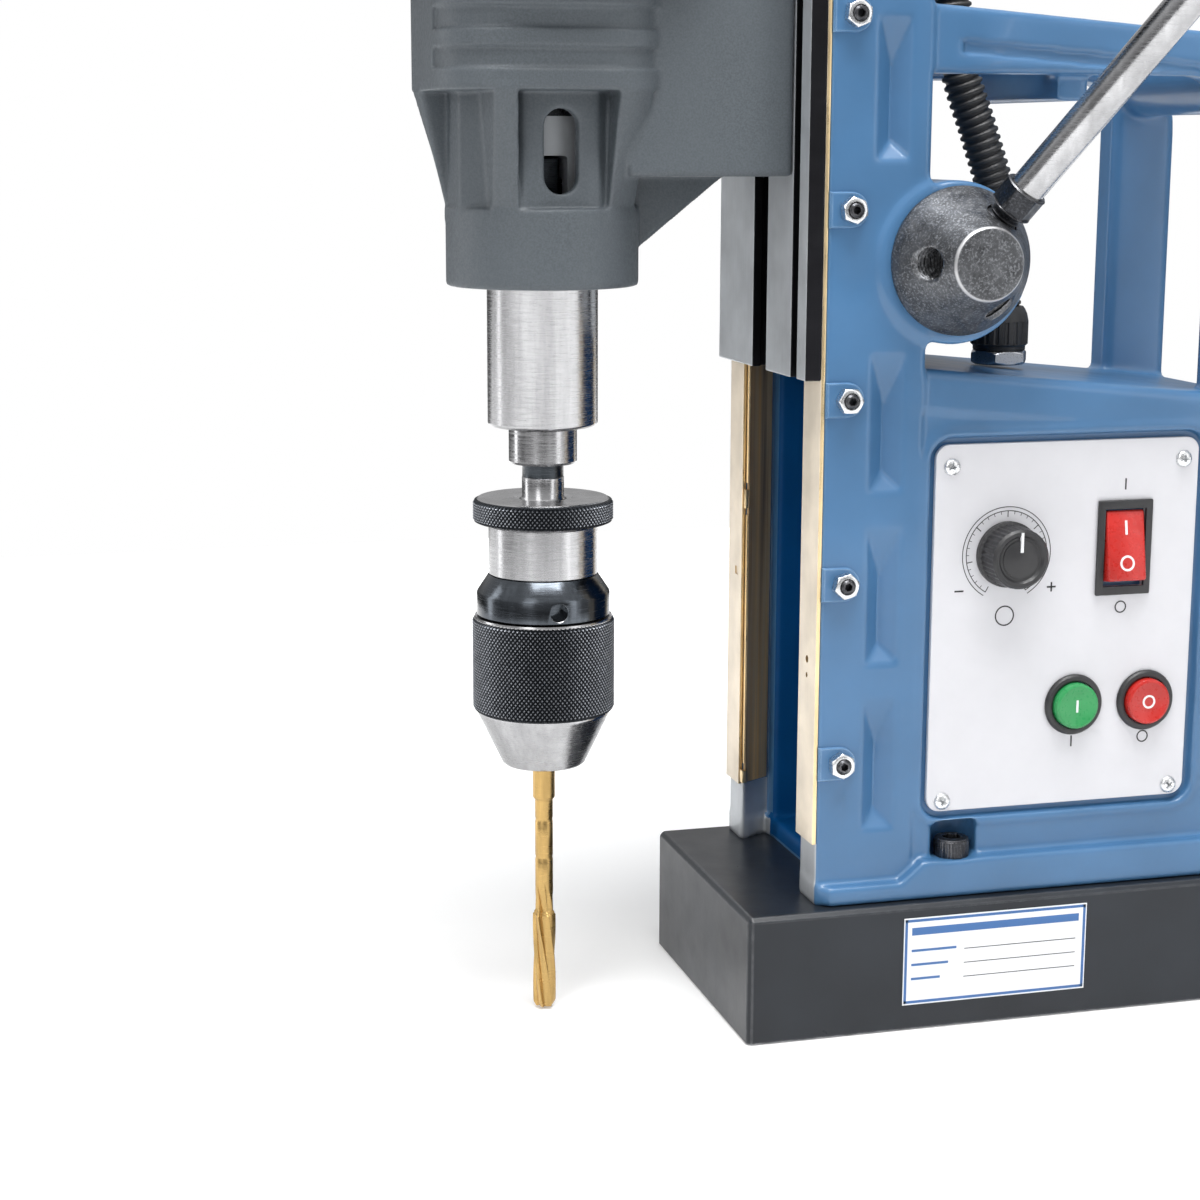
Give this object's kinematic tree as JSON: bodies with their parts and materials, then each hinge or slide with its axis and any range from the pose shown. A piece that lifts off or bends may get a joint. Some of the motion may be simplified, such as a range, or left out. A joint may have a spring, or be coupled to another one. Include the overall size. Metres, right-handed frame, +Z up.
{
  "type": "magnetic drill press",
  "caption": "Portable drill press: electromagnet foot, cast column with dovetail slide, geared motor head, lever rack feed and keyless chuck with a reamer.",
  "frame": {"origin": "centre of the magnet's flat underside", "axes": "+Z up along the column, +X towards the rear of the machine (the spindle is at -X), -Y towards the side with the feed lever and the control panel"},
  "size_m": [0.3395, 0.2069, 0.568],
  "materials": {
    "black_paint": "satin",
    "copper_winding": "satin",
    "blue_paint": "gloss",
    "grey_cast": "satin",
    "black_steel": "satin",
    "bright_steel": "gloss",
    "laminated_steel": "satin",
    "brass": "satin",
    "zinc_plate": "gloss",
    "gold_coating": "gloss",
    "white_plate": "satin",
    "black_plastic": "satin",
    "green_plastic": "satin",
    "red_plastic": "satin",
    "circuit_board": "satin"
  },
  "bodies": {
    "frame": {"magnet_base": "black_paint", "magnet_coil_front": "copper_winding", "magnet_coil_rear": "copper_winding", "frame_casting": "blue_paint", "wear_strip_near": "brass", "wear_strip_far": "brass", "gib_near": "brass", "gib_far": "brass", "gib_screw_1": "zinc_plate", "gib_screw_2": "zinc_plate", "gib_screw_3": "zinc_plate", "gib_screw_4": "zinc_plate", "gib_screw_5": "zinc_plate", "foot_screw_1": "black_steel", "foot_screw_2": "black_steel", "foot_screw_3": "black_steel", "foot_screw_4": "black_steel", "far_cover": "blue_paint", "body_gland": "black_plastic", "mains_gland": "black_plastic", "conduit": "black_plastic", "control_panel": "white_plate", "switch_block": "black_plastic", "speed_sensor": "black_plastic", "controller_board": "circuit_board", "feed_bush_near": "brass", "feed_bush_far": "brass"},
    "speed_knob": {"speed_knob": "black_plastic"},
    "magnet_switch": {"magnet_switch": "red_plastic"},
    "start_button": {"start_button": "green_plastic"},
    "stop_button": {"stop_button": "red_plastic"},
    "feed": {"feed_hub": "black_steel", "spoke": "bright_steel", "spoke_knob": "black_plastic", "pinion_shaft": "bright_steel"},
    "carriage": {"carriage": "black_steel", "rack": "bright_steel", "gearbox_housing": "grey_cast", "motor_housing": "grey_cast", "top_cap": "black_plastic", "motor_gland": "black_plastic", "stator": "laminated_steel", "brush_holder_near": "brass", "brush_holder_far": "brass", "armature_bearing": "bright_steel", "spindle_bearing_lower": "bright_steel", "spindle_bearing_upper": "bright_steel"},
    "armature": {"armature": "laminated_steel", "cooling_fan": "black_plastic"},
    "lay": {"lay_shaft": "bright_steel", "lay_wheel": "bright_steel"},
    "spindle": {"spindle": "bright_steel", "spindle_gear": "bright_steel", "arbor": "bright_steel", "chuck_body": "bright_steel", "reamer": "gold_coating"},
    "chuck_sleeve": {"chuck_sleeve": "black_steel"},
    "jaw_1": {"jaw_1": "bright_steel"},
    "jaw_2": {"jaw_2": "bright_steel"},
    "jaw_3": {"jaw_3": "bright_steel"}
  },
  "joints": [
    {"name": "carriage_slide", "type": "slide", "parent": "frame", "child": "carriage", "axis": [0, 0, 1], "range_m": [-0.155, 0.03], "deforming": ["conduit"]},
    {"name": "feed_hub_spin", "type": "hinge", "parent": "frame", "child": "feed", "pos_m": [-0.036, 0, 0.269], "axis": [0, 1, 0], "range_deg": [-495, 96]},
    {"name": "spindle_spin", "type": "hinge", "parent": "carriage", "child": "spindle", "pos_m": [-0.169, 0, 0.3], "axis": [0, 0, 1], "continuous": true},
    {"name": "lay_spin", "type": "hinge", "parent": "carriage", "child": "lay", "pos_m": [-0.1315, 0, 0.36], "axis": [0, 0, 1], "continuous": true},
    {"name": "armature_spin", "type": "hinge", "parent": "carriage", "child": "armature", "pos_m": [-0.169, 0, 0.44], "axis": [0, 0, 1], "continuous": true},
    {"name": "chuck_sleeve_turn", "type": "hinge", "parent": "spindle", "child": "chuck_sleeve", "pos_m": [-0.169, 0, 0.12], "axis": [0, 0, 1], "range_deg": [0, 720]},
    {"name": "jaw_1_slide", "type": "slide", "parent": "spindle", "child": "jaw_1", "axis": [0.342, 0, 0.9397], "range_m": [0, 0.0073]},
    {"name": "jaw_2_slide", "type": "slide", "parent": "spindle", "child": "jaw_2", "axis": [-0.171, 0.2962, 0.9397], "range_m": [0, 0.0073]},
    {"name": "jaw_3_slide", "type": "slide", "parent": "spindle", "child": "jaw_3", "axis": [-0.171, -0.2962, 0.9397], "range_m": [0, 0.0073]},
    {"name": "speed_knob_turn", "type": "hinge", "parent": "frame", "child": "speed_knob", "pos_m": [-0.0136, -0.042, 0.1675], "axis": [0, 1, 0], "range_deg": [0, 300]},
    {"name": "magnet_switch_rock", "type": "hinge", "parent": "frame", "child": "magnet_switch", "pos_m": [0.031, -0.041, 0.168], "axis": [1, 0, 0], "range_deg": [0, 20]},
    {"name": "start_button_press", "type": "slide", "parent": "frame", "child": "start_button", "axis": [0, 1, 0], "range_m": [0, 0.0025], "stiffness_N_per_m": 400},
    {"name": "stop_button_press", "type": "slide", "parent": "frame", "child": "stop_button", "axis": [0, 1, 0], "range_m": [0, 0.0025], "stiffness_N_per_m": 400}
  ],
  "couplings": [
    {"joint": "feed_hub_spin", "follows": "carriage_slide", "rad_per_m": 55.556},
    {"joint": "lay_spin", "follows": "spindle_spin", "ratio": -3.1667},
    {"joint": "armature_spin", "follows": "spindle_spin", "ratio": 15.833},
    {"joint": "jaw_1_slide", "follows": "chuck_sleeve_turn", "m_per_rad": 0.00058},
    {"joint": "jaw_2_slide", "follows": "chuck_sleeve_turn", "m_per_rad": 0.00058},
    {"joint": "jaw_3_slide", "follows": "chuck_sleeve_turn", "m_per_rad": 0.00058}
  ]
}
